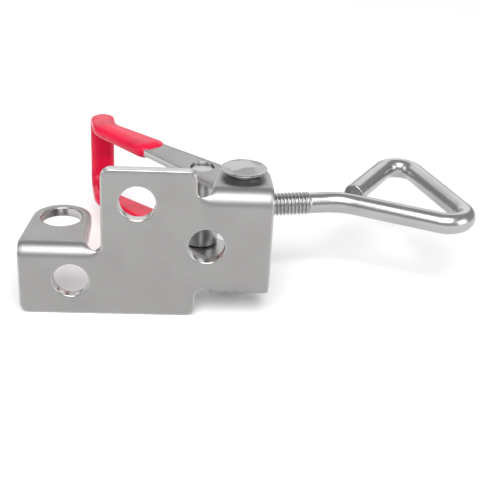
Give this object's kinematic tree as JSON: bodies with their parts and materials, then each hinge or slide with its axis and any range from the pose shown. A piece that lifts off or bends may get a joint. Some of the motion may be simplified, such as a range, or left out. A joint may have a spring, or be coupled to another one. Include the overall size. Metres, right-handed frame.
{
  "type": "toggle bolt latch",
  "caption": "Over-centre toggle latch: pressed bracket with a lock tab, folded lever with a dipped grip, cross trunnion and a threaded hook bolt ending in a triangular loop.",
  "frame": {"origin": "centre of the mounting hole in the plate's low arm, on the mounting face", "axes": "+X along the plate from the lock tab towards the ears and the hook; +Y from the mounting surface towards the mechanism; +Z across the plate from the low arm to the high part"},
  "size_m": [0.0953, 0.0504, 0.032],
  "materials": {
    "bracket_steel": "satin stainless steel",
    "rivet_steel": "hammered and tumbled stainless steel",
    "lever_steel": "satin stainless steel",
    "grip_vinyl": "glossy dipped vinyl, red",
    "trunnion_steel": "bright turned stainless steel",
    "bolt_steel": "bright drawn stainless wire with a rolled thread"
  },
  "bodies": {
    "base": {"base_bracket": "bracket_steel", "pivot_rivet_upper": "rivet_steel", "pivot_rivet_lower": "rivet_steel"},
    "handle": {"handle_lever": "lever_steel", "handle_grip": "grip_vinyl"},
    "cross_barrel": {"trunnion": "trunnion_steel"},
    "hook": {"hook_bolt": "bolt_steel"}
  },
  "joints": [
    {"name": "handle_pivot", "type": "hinge", "parent": "base", "child": "handle", "pos_m": [0.03405, 0.0092, 0.0083], "axis": [0, 0, 1], "range_deg": [-63, 50]},
    {"name": "trunnion_pivot", "type": "hinge", "parent": "handle", "child": "cross_barrel", "pos_m": [0.02583, 0.01801, 0.0083], "axis": [0, 0, 1], "range_deg": [-60, 75.5]},
    {"name": "hook_bolt_spin", "type": "hinge", "parent": "cross_barrel", "child": "hook", "pos_m": [0.02583, 0.01801, 0.0083], "axis": [0.9877, 0.1564, 0], "range_deg": [-180, 180]}
  ],
  "couplings": [
    {"joint": "trunnion_pivot", "follows": "handle_pivot", "ratio": -1.19}
  ]
}
